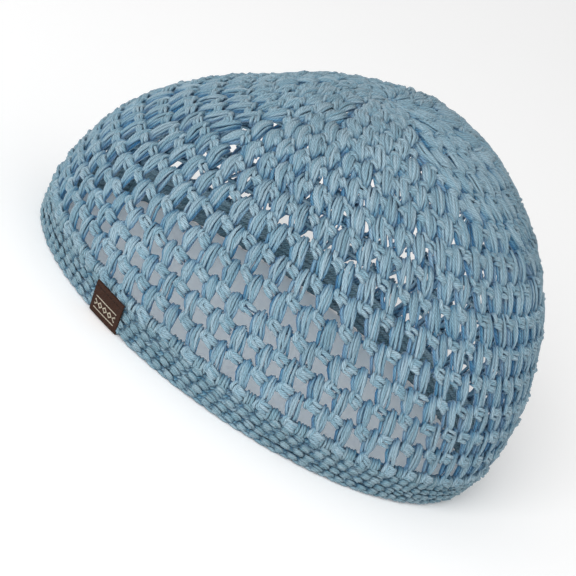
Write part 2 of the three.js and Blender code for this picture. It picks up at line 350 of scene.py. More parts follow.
def yarn_piece(name, batches, material):
    """One mesh of all the strands in the batches."""
    points = np.concatenate([batch.points.reshape(-1, 3) for batch in batches]) * MM
    corners, starts, uv = [], [], []
    first_point, first_corner = 0, 0
    for batch in batches:
        tube = batch.tube
        count = len(batch.points)
        copies = np.arange(count)[:, None]
        corners.append(tube.corners + copies * len(tube.ring) + first_point)
        starts.append(tube.starts + copies * len(tube.corners) + first_corner)
        around = np.broadcast_to(tube.around, (count, len(tube.around)))
        uv.append(np.stack([around, batch.along[:, tube.corners]], axis=-1))
        first_point += count * len(tube.ring)
        first_corner += count * len(tube.corners)
    corners, starts = joined(corners), joined(starts)
    mesh = bpy.data.meshes.new(name)
    mesh.vertices.add(len(points))
    mesh.vertices.foreach_set("co", points.astype(np.float32).ravel())
    mesh.loops.add(len(corners))
    mesh.loops.foreach_set("vertex_index", corners.astype(np.int32))
    mesh.polygons.add(len(starts))
    mesh.polygons.foreach_set("loop_start", starts.astype(np.int32))
    mesh.update(calc_edges=True)
    mesh.polygons.foreach_set("use_smooth", np.ones(len(starts), bool))
    mesh.uv_layers.new(name="strand").data.foreach_set("uv", joined(uv).astype(np.float32))
    for value in ("cover", "shade"):
        attribute = mesh.attributes.new(value, "FLOAT", "POINT")
        values = joined([getattr(batch, value) for batch in batches])
        attribute.data.foreach_set("value", values.astype(np.float32))
    piece = bpy.data.objects.new(name, mesh)
    piece.data.materials.append(material)
    bpy.context.scene.collection.objects.link(piece)
    triangles = len(corners) - 2 * len(starts)
    print(name, sum(len(batch.points) for batch in batches), "strands,", triangles, "triangles")
    return piece


# %% [markdown]
# ## The yarn's finish
#
# Mercerised cotton is cotton treated under tension, which makes it smooth and gives it a silky gloss.
# Its plies are twisted together, so fine slanted grooves run round each strand. Where strands lie
# close, light goes from one to the next and picks up more blue each time, so the hollows of the fabric
# are not grey but a deep, full blue. The grooves could be modelled, but at this size a bump shows them
# as well, with painted shade in the grooves and a painted highlight on the ridges. The blue of the
# hollows is painted shade too: the painted shade value of each strand turns its light colour into a
# deep, full blue on its flanks and where it lies deep.

# %% Helpers for materials
MATH = "ShaderNodeMath"
MAP = "ShaderNodeMapRange"


def linear(hex_colour):
    """An sRGB colour such as 8FB5D0 as linear numbers for a shader."""
    channels = [int(hex_colour[start:start + 2], 16) / 255 for start in (0, 2, 4)]
    return (*(c / 12.92 if c <= 0.04045 else ((c + 0.055) / 1.055) ** 2.4 for c in channels), 1)


def add_node(material, kind, settings=None, inputs=None, output=None):
    """A node, with inputs set to a value or linked to another's output; or the output that is named."""
    tree = material.node_tree
    node = tree.nodes.new(kind)
    for name, value in (settings or {}).items():
        setattr(node, name, value)
    for name, value in (inputs or {}).items():
        if isinstance(value, bpy.types.NodeSocket):
            tree.links.new(value, node.inputs[name])
        else:
            node.inputs[name].default_value = value
    return node.outputs[output] if output else node


def new_material(name):
    material = bpy.data.materials.new(name)
    material.use_nodes = True
    material.node_tree.nodes.clear()
    return material


def soft_spots(material, where, scale, low, high):
    """Random values from low to high that change softly over the surface."""
    spots = add_node(
        material, "ShaderNodeTexNoise", inputs={"Vector": where, "Scale": scale, "Detail": 2.0}, output="Fac"
    )
    usual = {"From Min": 0.3, "From Max": 0.7}
    return add_node(
        material, MAP, inputs={"Value": spots, **usual, "To Min": low, "To Max": high}, output="Result"
    )


# %% The yarn's sizes and shades
PLY_SPACING = 1.35             # mm along the yarn from ridge to ridge
PLIES = 5                      # ridges round a strand
GROOVE_END = 0.3               # of a wave from -1 to 1, so that the grooves are narrower than the ridges
YARN_GIRTH = 3.6               # mm round a strand
FIBRE_WIDTH = 0.3              # mm, coarser than real fibres, so that they show
FIBRE_LENGTH = 1.5             # mm
FIBRE_RELIEF = 0.6             # how high the fibres stand, as a share of the ridges
FIBRE_SHADE = 0.42             # from the darkest fibre to the lightest, random streaks that are painted lighter where they stand higher
GROOVE_SHADE = 0.74            # how light the painted shade leaves the grooves between the plies
# next, how light the painted highlight makes the ridges of the plies
RIDGE_SHADE = 1.06
STRAND_SHADE = 0.11            # how much lighter or darker a whole strand is
FULLNESS = 0.97                # how full in colour the usual strand is
STRAND_FADE = -0.15            # what the lightest strand gains of that, so it is paler
PATCH_SIZE = 22.0              # mm, where the dye took a little more or a little less
PATCH_SHADES = (0.93, 1.07)
CREST_AT, FLANK_AT, HOLLOW_AT = 0.05, 0.4, 0.9     # painted shade values that have the three colours: the lit top, then the flanks, then the hollows
TWIST_DEPTH = 0.2              # mm
print("plies slant", round(math.degrees(math.atan2(YARN_GIRTH / PLIES, PLY_SPACING))), "degrees")


# %% Mercerised cotton yarn
def ply_ridges(material, uv):
    """From 0 in the grooves between the plies to 1 on their ridges."""
    split = add_node(material, "ShaderNodeSeparateXYZ", inputs={"Vector": uv})
    round_turns = add_node(
        material, MATH, {"operation": "MULTIPLY"},
        {0: split.outputs["X"], 1: 2 * math.pi * PLIES}, "Value",
    )
    along_turns = add_node(
        material, MATH, {"operation": "MULTIPLY_ADD"},
        {0: split.outputs["Y"], 1: 2 * math.pi / PLY_SPACING, 2: round_turns}, "Value",
    )
    wave = add_node(material, MATH, {"operation": "SINE"}, {0: along_turns}, "Value")
    return add_node(
        material, MAP, {"interpolation_type": "SMOOTHSTEP"},
        {"Value": wave, "From Min": -1.0, "From Max": GROOVE_END}, "Result",
    )


def painted_depth_shade(material, crest, painted_flank_shade, painted_hollow_shade):
    """Painted shade: the yarn's three colours by how deep it lies in the fabric and which way it faces."""
    cover = add_node(material, "ShaderNodeAttribute", {"attribute_name": "cover"}, output="Fac")
    depth = add_node(material, "ShaderNodeValToRGB", inputs={"Fac": cover})
    ends = depth.color_ramp.elements
    ends[0].color, ends[0].position = linear(crest), CREST_AT
    ends[1].color, ends[1].position = linear(painted_hollow_shade), HOLLOW_AT
    ends.new(FLANK_AT).color = linear(painted_flank_shade)
    return depth.outputs["Color"]


def yarn_colour(material, depth, ridge, fibres):
    """The painted depth shade, with painted shade in the plies' grooves, a painted highlight on their
    ridges, and the own shade of each strand.
    """
    shade = add_node(material, "ShaderNodeAttribute", {"attribute_name": "shade"}, output="Fac")
    # painted shade in the grooves between the plies, and a painted highlight on their ridges
    painted_ridge_light = add_node(
        material, MAP, inputs={"Value": ridge, "To Min": GROOVE_SHADE, "To Max": RIDGE_SHADE},
        output="Result",
    )
    strand_tone_and_ply_shade = add_node(
        material, MATH, {"operation": "MULTIPLY_ADD"}, {0: shade, 1: STRAND_SHADE, 2: painted_ridge_light}, "Value"
    )
    where = add_node(material, "ShaderNodeTexCoord", output="Object")
    patches = soft_spots(material, where, 1 / (PATCH_SIZE * MM), *PATCH_SHADES)
    patched = add_node(material, MATH, {"operation": "MULTIPLY"}, {0: strand_tone_and_ply_shade, 1: patches}, "Value")
    # random fibre streaks, painted lighter where their bump stands higher, as a painted highlight
    value = add_node(
        material, MATH, {"operation": "MULTIPLY_ADD"}, {0: fibres, 1: FIBRE_SHADE, 2: patched}, "Value"
    )
    fullness = add_node(
        material, MATH, {"operation": "MULTIPLY_ADD"}, {0: shade, 1: STRAND_FADE, 2: FULLNESS}, "Value"
    )
    inputs = {"Color": depth, "Value": value, "Saturation": fullness}
    return add_node(material, "ShaderNodeHueSaturation", inputs=inputs, output="Color")


def cotton_yarn(name, crest, painted_flank_shade, painted_hollow_shade):
    """Twisted cotton: a soft, silky gloss on its crests, and painted shade of full blue in the hollows
    between strands.
    """
    material = new_material(name)
    uv = add_node(material, "ShaderNodeUVMap", {"uv_map": "strand"}, output="UV")
    ridge = ply_ridges(material, uv)
    along_fibres = (YARN_GIRTH / FIBRE_WIDTH, 1 / FIBRE_LENGTH, 1.0)
    stretched = add_node(
        material, "ShaderNodeMapping", inputs={"Vector": uv, "Scale": along_fibres}, output="Vector"
    )
    fibres = soft_spots(material, stretched, 1.0, -0.5, 0.5)
    relief = add_node(
        material, MATH, {"operation": "MULTIPLY_ADD"}, {0: fibres, 1: FIBRE_RELIEF, 2: ridge}, "Value"
    )
    bump = add_node(
        material, "ShaderNodeBump",
        inputs={"Height": relief, "Strength": 0.9, "Distance": TWIST_DEPTH * MM}, output="Normal",
    )
    # painted shade by how deep a strand lies and which way it faces
    depth = painted_depth_shade(material, crest, painted_flank_shade, painted_hollow_shade)
    shader = add_node(
        material, "ShaderNodeBsdfPrincipled",
        inputs={
            "Base Color": yarn_colour(material, depth, ridge, fibres), "Normal": bump,
            "Roughness": 0.62, "Specular IOR Level": 0.25,
            "Sheen Weight": 0.12, "Sheen Roughness": 0.4,
        },
    )
    add_node(material, "ShaderNodeOutputMaterial", inputs={"Surface": shader.outputs["BSDF"]})
    print("finish", name, crest, painted_flank_shade, painted_hollow_shade)
    return material


# the crest colour is the strands' lit tops; the two darker colours are painted shade on their flanks and in
# the hollows
puff_cotton = cotton_yarn("cotton_yarn_puffs", crest="7D9BAA", painted_flank_shade="56829E", painted_hollow_shade="275989")
band_cotton = cotton_yarn("cotton_yarn_edge", crest="7997A4", painted_flank_shade="53798F", painted_hollow_shade="254F76")

# %% [markdown]
# ## The rounds of puff stitches
#
# A puff stitch is a few long loops drawn up together and closed with a chain. Its strands start as a row
# of rounded heads that lap over the bar of the round above, run down side by side, lean to the right and
# gather in a narrow foot, where some of them cross. Each foot goes to a gap between two heads of the
# round below, and a bar behind it carries those heads. The closing chain lies over the foot: a round
# loop and two short double bars where the net is open, a heel and two lumps where it is closed. Beside the
# foot the net is open. Towards the crown the rounds get shorter, so the puffs close up until the net has
# no gaps. Every puff could be a copy of one mesh, but crochet never repeats itself, so each strand has
# knots of its own, moved a little at random.

# %% Where each puff is
Round = namedtuple("Round", "height puffs closed lean")
# height is in mm down the front, closed goes from 0, open between the puffs, to 1, without gaps, and
# lean is how far a foot at the front lies to the right of its head, as a share of the pitch.
ROUNDS = [                     # from the band up
    Round(9.2, 56, 0.0, 0.25), Round(8.8, 56, 0.0, 0.25), Round(9.0, 56, 0.0, 0.25),
    Round(9.9, 56, 0.05, 0.25), Round(10.3, 56, 0.1, 0.25), Round(10.3, 56, 0.2, 0.28),
    Round(10.0, 54, 0.3, 0.35), Round(9.7, 51, 0.4, 0.50), Round(9.6, 48, 0.5, 0.45),
    Round(9.0, 44, 0.75, 0.40), Round(7.9, 39, 0.95, 0.40), Round(7.4, 32, 1.0, 0.40),
    Round(7.6, 25, 1.0, 0.35), Round(7.2, 19, 1.0, 0.30), Round(6.6, 14, 1.0, 0.30),
    Round(5.6, 9, 1.0, 0.30),
]
FULL_PITCH = 10.8              # mm from puff to puff where the cap is widest
LEAN_ANGLE = math.radians(-94)         # round the cap, where the puffs lean as the table says
USUAL_LEAN = 0.3               # elsewhere a foot goes to the gap below that lies nearest to this lean
FOOT_JITTER, HEAD_JITTER, ROUND_JITTER = 0.8, 0.4, 0.3     # mm that these are out of line
Puffs = namedtuple("Puffs", "walked height pitch angle lean closed")


def nearest_gap(angle, gap, spacing):
    """The gap between two puffs that lies nearest to an angle, if one gap and their spacing are known."""
    return gap + np.round((angle - gap) / spacing) * spacing


def puff_rounds():
    """The puffs of each round, from the band up."""
    rounds = []
    foot = walk_to_band
    gap, gap_spacing = LEAN_ANGLE, 2 * math.pi / ROUNDS[0].puffs
    for height, count, closed, front_lean in ROUNDS:
        walked = foot - height
        spacing = 2 * math.pi / count
        angle = nearest_gap(LEAN_ANGLE, gap, gap_spacing) + spacing * (np.arange(count) - front_lean)
        feet = nearest_gap(angle + USUAL_LEAN * spacing, gap, gap_spacing)
        speed = face_speed(place_at(np.full(count, walked + height / 2)), angle)
        lean = (feet - angle) * speed + randoms.uniform(-FOOT_JITTER, FOOT_JITTER, count)
        gap, gap_spacing = angle[0] + spacing / 2, spacing
        angle = angle + randoms.uniform(-HEAD_JITTER, HEAD_JITTER, count) / speed
        walks = walked + randoms.uniform(-ROUND_JITTER, ROUND_JITTER, count)
        rounds.append(Puffs(walks, np.full(count, height), speed * spacing, angle, lean, closed))
        foot = walked
    print("puffs", sum(len(puffs.angle) for puffs in rounds), "centre", round(foot, 1), "mm")
    return rounds


puffs_by_round = puff_rounds()


# %% The way of a puff's strands
PuffKnot = namedtuple("PuffKnot", "share down out spread lean")
# share of the round's height, mm below that, mm out of the face, and shares of the width and the lean
OPEN_FRONT = np.array([
    PuffKnot(0.00, 0.20, -2.30, 0.70, 0.00),
    PuffKnot(0.00, -1.10, -1.60, 0.74, 0.00),
    PuffKnot(0.00, -0.60, -0.55, 0.82, 0.00),
    PuffKnot(0.20, 0.00, 0.10, 0.98, 0.15),
    PuffKnot(0.45, 0.00, 0.05, 1.08, 0.45),
    PuffKnot(0.70, 0.00, -0.30, 1.10, 0.78),
    PuffKnot(0.88, 0.00, -0.95, 1.05, 0.97),
    PuffKnot(1.00, 0.00, -2.10, 1.00, 1.05),
])
CLOSED_FRONT = np.array([
    PuffKnot(0.00, 0.10, -2.00, 0.80, 0.00),
    PuffKnot(0.00, -1.10, -1.10, 0.90, 0.00),
    PuffKnot(0.00, -0.60, -0.10, 0.95, 0.00),
    PuffKnot(0.22, 0.00, 0.50, 1.00, 0.15),
    PuffKnot(0.45, 0.00, 0.45, 0.94, 0.42),
    PuffKnot(0.66, 0.00, 0.15, 0.76, 0.72),
    PuffKnot(0.84, 0.00, -0.50, 0.55, 0.93),
    PuffKnot(1.00, 0.00, -1.80, 0.42, 1.05),
])
BACK = np.array([
    PuffKnot(0.00, -1.30, -1.90, 0.80, 0.00),
    PuffKnot(0.25, 0.00, -1.30, 1.05, 0.15),
    PuffKnot(0.60, 0.00, -1.20, 1.15, 0.60),
    PuffKnot(0.97, 0.00, -1.60, 1.05, 1.00),
])
OpenClosed = namedtuple("OpenClosed", "open closed")
Layer = namedtuple("Layer", "knots strands closed_width shift radius rings sides")
# closed_width is a share of the pitch, and shift is in mm, so that a layer shows beside the other
FRONT_LAYER = Layer(
    knots=OpenClosed(OPEN_FRONT, CLOSED_FRONT), strands=OpenClosed(5, 6), closed_width=0.72, shift=0.0,
    radius=OpenClosed(0.56, 0.62), rings=9, sides=6,
)
BACK_LAYER = Layer(
    knots=OpenClosed(BACK, BACK), strands=OpenClosed(3, 4), closed_width=0.92, shift=-0.6,
    radius=OpenClosed(0.74, 1.0), rings=5, sides=5,
)
print("strands in front:", FRONT_LAYER.strands, "behind:", BACK_LAYER.strands)


# %% The strands of a puff
OPEN_WIDTH = 3.9               # mm between the outer strands of a head where the net is open
WIDTH_FOLLOWS = 0.7            # how fully that follows the pitch: 1 would be fully and 0 not at all
HEAD_ARCH = 1.1                # mm that the middle strands of a head start higher than the outer ones
PLUMPNESS = 0.36               # mm that they stand out of the face, and the outer ones into it
CROSSING = 0.6                 # how fully the strands change places at the foot
GATHERING = (0.7, 1.15)        # the narrowest and the widest foot, as shares of the usual one
ACROSS_JITTER, ACROSS_BEND = 0.27, 0.25    # mm that a strand is out of line, and each of its knots
OUT_JITTER, OUT_BEND = 0.33, 0.15
TIP_JITTER = 0.3               # mm that a strand starts higher or lower


def mix(start, end, share):
    return start + (end - start) * share


def shuffled(row, count):
    """The values of a row in another order for each of count puffs."""
    order = np.argsort(randoms.random((count, len(row))), axis=1)
    return row[order][:, :, None]


def puff_strands(puffs, layer):
    """Paths of the upright strands of a layer, an array of (puffs * strands, knots, 3)."""
    strands = round(mix(*layer.strands, puffs.closed))
    knots = mix(*layer.knots, puffs.closed)
    each_puff = (len(puffs.angle), 1, 1)
    each_strand = (len(puffs.angle), strands, 1)
    each_knot = (len(puffs.angle), strands, len(knots))
    share, down, out, spread, lean = knots.T
    in_head = share == 0
    open_width = OPEN_WIDTH * (puffs.pitch / FULL_PITCH) ** WIDTH_FOLLOWS
    width = mix(open_width, layer.closed_width * puffs.pitch, puffs.closed)
    row = np.linspace(-1, 1, strands)
    head = row[None, :, None]
    near_foot = np.minimum(lean, 1)
    crossing = CROSSING * (1 - puffs.closed / 2) * near_foot ** 2
    fan = mix(head, shuffled(row, len(puffs.angle)), crossing)
    gathered = mix(1, randoms.uniform(*GATHERING, each_puff), near_foot)
    across = fan * width[:, None, None] / 2 * spread * gathered
    across = across + puffs.lean[:, None, None] * lean + layer.shift * ~in_head
    across = across + randoms.uniform(-ACROSS_JITTER, ACROSS_JITTER, each_strand)
    across = across + randoms.uniform(-ACROSS_BEND, ACROSS_BEND, each_knot)
    fall = puffs.height[:, None, None] * share + down
    tips = HEAD_ARCH * (1 - head ** 2) + randoms.uniform(-TIP_JITTER, TIP_JITTER, each_strand)
    fall = fall - tips * in_head
    near_face = out > -1
    stand = out + PLUMPNESS * (1 - 2 * head ** 2) * near_face
    stand = stand + randoms.uniform(-OUT_JITTER, OUT_JITTER, each_strand)
    stand = stand + randoms.uniform(-OUT_BEND, OUT_BEND, each_knot)
    paths = np.stack(np.broadcast_arrays(across, fall, stand), axis=-1)
    return paths.reshape(-1, len(knots), 3)


# %% The closing chain at a puff's foot
BarKnot = namedtuple("BarKnot", "across down out")
LOOP = np.array([              # in mm from the foot of the puff, where the net is open
    BarKnot(-1.2, -2.7, -1.30),
    BarKnot(-2.2, -1.9, 0.00),
    BarKnot(-2.6, -0.4, 0.45),
    BarKnot(-2.1, 1.0, 0.20),
    BarKnot(-1.1, 1.6, -1.20),
])
UPPER_BAR = np.array([
    BarKnot(-1.6, -1.3, -1.20),
    BarKnot(-0.6, -1.3, 0.50),
    BarKnot(1.0, -1.0, 0.95),
    BarKnot(2.6, -0.5, 0.45),
    BarKnot(3.6, 0.1, -1.40),
])
LOWER_BAR = np.array([
    BarKnot(-2.0, 0.6, -1.20),
    BarKnot(-1.0, 0.6, 0.50),
    BarKnot(0.6, 1.0, 0.95),
    BarKnot(2.1, 1.6, 0.45),
    BarKnot(3.1, 2.3, -1.30),
])
HEEL = np.array([              # the same three where the net is closed
    BarKnot(-6.6, -1.6, -1.00),
    BarKnot(-5.5, -1.8, 0.60),
    BarKnot(-3.8, -1.5, 1.00),
    BarKnot(-2.2, -0.8, 0.80),
    BarKnot(-0.8, 0.2, -0.50),
])
UPPER_LUMP = np.array([
    BarKnot(-0.6, 1.6, -1.10),
    BarKnot(0.5, 2.2, 0.50),
    BarKnot(1.8, 3.2, 0.85),
    BarKnot(3.1, 4.3, 0.45),
    BarKnot(3.9, 5.1, -1.10),
])
LOWER_LUMP = np.array([
    BarKnot(-1.6, 2.8, -1.10),
    BarKnot(-0.5, 3.3, 0.40),
    BarKnot(0.8, 4.3, 0.75),
    BarKnot(2.0, 5.4, 0.35),
    BarKnot(2.7, 6.2, -1.10),
])
CHAIN = [                      # with how far a strand lies beside the table: across, down, out
    OpenClosed(LOOP, HEEL + (0.0, -0.6, -0.1)),
    OpenClosed(LOOP + (0.9, 0.1, 0.1), HEEL + (0.2, 0.6, 0.1)),
    OpenClosed(UPPER_BAR + (-0.1, -0.45, -0.05), UPPER_LUMP + (0.0, -0.4, 0.0)),
    OpenClosed(UPPER_BAR + (0.1, 0.45, 0.05), UPPER_LUMP + (0.0, 0.4, 0.1)),
    OpenClosed(LOWER_BAR + (-0.1, -0.4, 0.1), LOWER_LUMP + (0.0, -0.4, 0.1)),
    OpenClosed(LOWER_BAR + (0.1, 0.5, -0.1), LOWER_LUMP + (0.0, 0.4, 0.0)),
]
LOOP_STRANDS = 2               # the first ones, which stand upright where the net is open
CHAIN_RADIUS = 0.74
RADIUS_FOLLOWS = 0.4           # how fully that follows the pitch
CHAIN_JITTER = 0.4             # mm that a strand of the chain is out of line, and 0.6 of that outwards
CHAIN_BEND = 0.22              # mm that each of its knots is
SLANT = 0.22                   # mm that a chain falls or rises for each mm across, at most
print("strands in a closing chain", len(CHAIN))


def chain_strands(puffs, strand, slant):
    """Paths of one strand of the closing chain at each puff's foot."""
    knots = mix(*strand, puffs.closed)
    count = len(puffs.angle)
    scale = (puffs.pitch / FULL_PITCH)[:, None]
    jitter = randoms.uniform(-CHAIN_JITTER, CHAIN_JITTER, (count, 1, 3)) * [1.0, 1.0, 0.6]
    bend = randoms.uniform(-CHAIN_BEND, CHAIN_BEND, (count, len(knots), 3))
    across = puffs.lean[:, None] + knots[:, 0] * scale
    fall = puffs.height[:, None] + (knots[:, 1] + knots[:, 0] * slant[:, None]) * np.sqrt(scale)
    stand = np.broadcast_to(knots[:, 2], across.shape)
    return np.stack([across, fall, stand], axis=-1) + jitter + bend


# %% The net, in pieces of a few rounds each
BAR_PLACES = np.array([-0.56, -0.2, 0.2, 0.56])    # shares of the pitch, a little past both its ends
BAR_DEPTH = 2.1                # mm under the face
BAR_RADIUS = 0.85
PUFF_PIECES = {                # rounds counted from the band up
    "puffs_lowest": range(0, 3),
    "puffs_lower": range(3, 6),
    "puffs_middle": range(6, 8),
    "puffs_upper": range(8, 10),
    "puffs_top": range(10, 16),
}


def inner_bar(puffs):
    """The bar behind the heads of the next round, from the middle of one gap to the next."""
    across = puffs.lean[:, None] + puffs.pitch[:, None] * BAR_PLACES
    fall = np.broadcast_to(puffs.height[:, None], across.shape)
    return np.stack([across, fall, np.full(across.shape, -BAR_DEPTH)], axis=-1)


def lay_puffs(puffs, paths, radius, rings, upright, **form):
    """Strands of the puffs of a round, as many for each puff as the paths hold."""
    strands = len(paths) // len(puffs.angle)
    where = np.repeat(puffs.walked, strands), np.repeat(puffs.angle, strands)
    return lay(paths, *where, radius, rings, upright, radial=puffs.closed, **form)


def puff_batches(puffs):
    batches = [lay_puffs(puffs, inner_bar(puffs), BAR_RADIUS, 4, False, sides=5, tip=1.0)]
    for layer in (FRONT_LAYER, BACK_LAYER):
        radius = mix(*layer.radius, puffs.closed)
        paths = puff_strands(puffs, layer)
        batches.append(lay_puffs(puffs, paths, radius, layer.rings, True, sides=layer.sides))
    radius = CHAIN_RADIUS * (puffs.pitch / FULL_PITCH) ** RADIUS_FOLLOWS
    slant = randoms.uniform(-SLANT, SLANT, len(puffs.angle))
    for index, strand in enumerate(CHAIN):
        upright = index < LOOP_STRANDS and puffs.closed < 0.5
        batches.append(lay_puffs(puffs, chain_strands(puffs, strand, slant), radius, 6, upright))
    return batches


def add_to_crown(piece):
    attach(piece, "root")
    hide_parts("crown")


for piece_name, piece_rounds in PUFF_PIECES.items():
    net_batches = [batch for index in piece_rounds for batch in puff_batches(puffs_by_round[index])]
    add_to_crown(yarn_piece(piece_name, net_batches, puff_cotton))

# %% [markdown]
# ## The middle of the crown
#
# The work starts from a small ring of yarn, with the first stitches drawn up through it like spokes. A
# disc would close the middle too, but it would show as a smooth button among the strands.

# %% The starting ring and its spokes
CENTRE_REACH = 5.5             # mm from the crown's middle to the heads of the first round
SPOKES = 12
SPOKE_START = 0.9              # mm from the crown's middle
SPOKE_RADIUS = 0.66
SPOKE_JITTER = 0.3             # mm that a spoke is out of line
SPOKE_OUT = np.array([-1.2, -0.1, 0.1, -0.2, -1.4])    # mm out of the face along a spoke
START_RING = 1.5               # mm from the middle to the starting ring
START_RING_PARTS = 6
START_RING_RADIUS = 0.7        # mm, of its yarn
START_RING_OUT = [-0.7, -0.3, -0.7]    # mm out of the face along each part
OVERLAP = 1.2                  # how much longer than its share a part of the ring is


def spoke_strands():
    angles = 2 * math.pi * np.arange(SPOKES) / SPOKES
    knots = len(SPOKE_OUT)
    spokes = np.zeros((SPOKES, knots, 3))
    spokes[:, :, 0] = randoms.uniform(-SPOKE_JITTER, SPOKE_JITTER, (SPOKES, knots))
    spokes[:, :, 1] = np.linspace(SPOKE_START, CENTRE_REACH, knots)
    spokes[:, :, 2] = SPOKE_OUT + randoms.uniform(-SPOKE_JITTER, SPOKE_JITTER, (SPOKES, 1))
    return lay(spokes, np.zeros(SPOKES), angles, SPOKE_RADIUS, 6, True, radial=1.0)


def start_ring():
    angles = 2 * math.pi * np.arange(START_RING_PARTS) / START_RING_PARTS
    reach = math.pi * START_RING / START_RING_PARTS * OVERLAP
    paths = np.zeros((START_RING_PARTS, 3, 3))
    paths[:, :, 0] = [-reach, 0.0, reach]
    paths[:, :, 2] = START_RING_OUT
    where = np.full(START_RING_PARTS, START_RING)
    return lay(paths, where, angles, START_RING_RADIUS, 6, False, radial=1.0)


add_to_crown(yarn_piece("crown_centre", [spoke_strands(), start_ring()], puff_cotton))

# %% [markdown]
# ## The edge band
#
# Single crochet makes small firm stitches. The first of the five rounds is worked into the gaps of the
# net and shows as groups of short upright strands. Below it every stitch is a plump arch of three
# strands that falls to the right and dips in at both ends. That leaves a dark slanted slit before the
# next one, and each round reads as a row. A thin braid runs along the rim. A ribbed ring would have the
# rows but not the slits, so the stitches are laid one by one, over strands that fill the ring inside.
# The fold of the label passes under the rim, so there the rim is lifted a little.

# %% Where the label is
LABEL_ANGLE = math.radians(239.3)      # round the cap from the fuller end
LABEL_WIDTH = 14.4             # mm
LABEL_CLEARANCE = 1.6          # mm beside the label where the rim is lifted too
RIM_LIFT = 1.3                 # mm that the rim is lifted over the label's fold
LIFT_RAMP = 1.5                # mm over which it is lifted
print("label at", round(math.degrees(LABEL_ANGLE), 1), "degrees round the cap")


def over_label(paths, angles):
    """The rim's strands, lifted where the label's fold passes under them."""
    speed = face_speed(np.full(len(angles), float(RIM_RING)), angles)
    apart = (angles - LABEL_ANGLE + math.pi) % (2 * math.pi) - math.pi
    beyond = np.abs(apart) * speed - LABEL_WIDTH / 2 - LABEL_CLEARANCE
    paths[..., 1] -= RIM_LIFT * np.clip(1 - beyond / LIFT_RAMP, 0, 1)[:, None]
    return paths


# %% Places round the band
BAND_STITCHES = 112            # in each round
STITCH_PITCH = 5.4             # mm at the front
BAND_GAP = 0.3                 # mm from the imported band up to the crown
KNOT_SHARE = 0.6               # of the jitter of a whole stitch, that of each of its knots
band_face = walk_to_rim - walk_to_band
band_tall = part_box("edge_band")[1].z / MM + BAND_GAP
band_randoms = np.random.default_rng(7)
print("band", round(band_tall, 1), "mm tall")


def walk_to_height(height):
    """The walk down the front to a height above the rim."""
    return walk_to_band + band_face * (1 - height / band_tall)


def stitch_angles(turned):
    return turned + 2 * math.pi * np.arange(BAND_STITCHES) / BAND_STITCHES


def repeated(knots, count, jitter):
    """One path for each of count stitches, each with a little difference."""
    paths = np.broadcast_to(knots, (count, *knots.shape)).copy()
    paths += band_randoms.uniform(-jitter, jitter, (count, 1, 3))
    paths += band_randoms.uniform(-jitter, jitter, paths.shape) * KNOT_SHARE
    return paths


def squeezed(paths, angles, walked):
    """Narrower where the cap's ends make the stitches stand closer together."""
    spacing = face_speed(place_at(np.full(len(angles), walked)), angles) * 2 * math.pi / BAND_STITCHES
    paths[..., 0] *= (spacing / STITCH_PITCH)[:, None]
    return paths


# %% The first round, of upright strands
UPRIGHT = np.array([           # in mm from the top of the band
    BarKnot(-0.2, -0.3, -2.20),
    BarKnot(-0.2, -1.5, -1.30),
    BarKnot(-0.1, -0.8, -0.25),
    BarKnot(0.2, 1.0, 0.15),
    BarKnot(0.5, 2.4, -0.25),
    BarKnot(0.6, 3.2, -1.60),
])
UPRIGHT_PLACES = (-1.9, -0.65, 0.6, 1.85)  # mm to the right of a gap of the net
UPRIGHT_RADIUS = 0.62
UPRIGHT_JITTER = 0.28          # mm
print("upright strands in the band", len(puffs_by_round[0].angle) * len(UPRIGHT_PLACES))


def upright_round(puffs):
    """A few upright strands drawn down from each gap of the net's last round."""
    speed = face_speed(place_at(puffs.walked + puffs.height), puffs.angle)
    angles = puffs.angle + (puffs.lean + puffs.pitch / 2) / speed
    where = np.full(len(angles), walk_to_band)
    batches = []
    for across in UPRIGHT_PLACES:
        paths = repeated(UPRIGHT + (across, 0, 0), len(angles), UPRIGHT_JITTER)
        batches.append(lay(paths, where, angles, UPRIGHT_RADIUS, 7, True))
    return batches


# %% The rounds of single crochet
ROUND_HEIGHTS = (11.1, 8.3, 5.4, 2.6)  # mm above the rim, the middles of the rounds
ROUND_SLIP = -0.008            # radians that each round is turned on from the one above it
STITCH_RADIUS = 0.53
STITCH_JITTER = 0.22           # mm that a whole stitch is out of line
STRAND_JITTER = 0.17           # mm that each of its strands is
ANGLE_JITTER = 0.005           # radians that it is out of its place in the round
print("stitches of single crochet", BAND_STITCHES * len(ROUND_HEIGHTS))
UPPER_ARCH = np.array([        # in mm from the middle of a stitch
    BarKnot(-2.5, 0.0, -1.70),
    BarKnot(-1.8, -0.7, 0.00),
    BarKnot(-0.6, -0.9, 0.35),
    BarKnot(0.8, -0.5, 0.25),
    BarKnot(1.8, 0.4, -0.20),
    BarKnot(2.4, 1.3, -1.70),
])
MIDDLE_ARCH = np.array([
    BarKnot(-2.3, 0.8, -1.70),
    BarKnot(-1.7, 0.1, 0.10),
    BarKnot(-0.6, -0.1, 0.50),
    BarKnot(0.6, 0.2, 0.40),
    BarKnot(1.4, 0.9, -0.10),
    BarKnot(2.0, 1.7, -1.70),
])
LOWER_ARCH = np.array([
    BarKnot(-2.1, 1.4, -1.70),
    BarKnot(-1.5, 0.9, -0.20),
    BarKnot(-0.7, 0.7, 0.15),
    BarKnot(0.2, 0.9, 0.10),
    BarKnot(0.9, 1.4, -0.20),
    BarKnot(1.5, 1.9, -1.70),
])


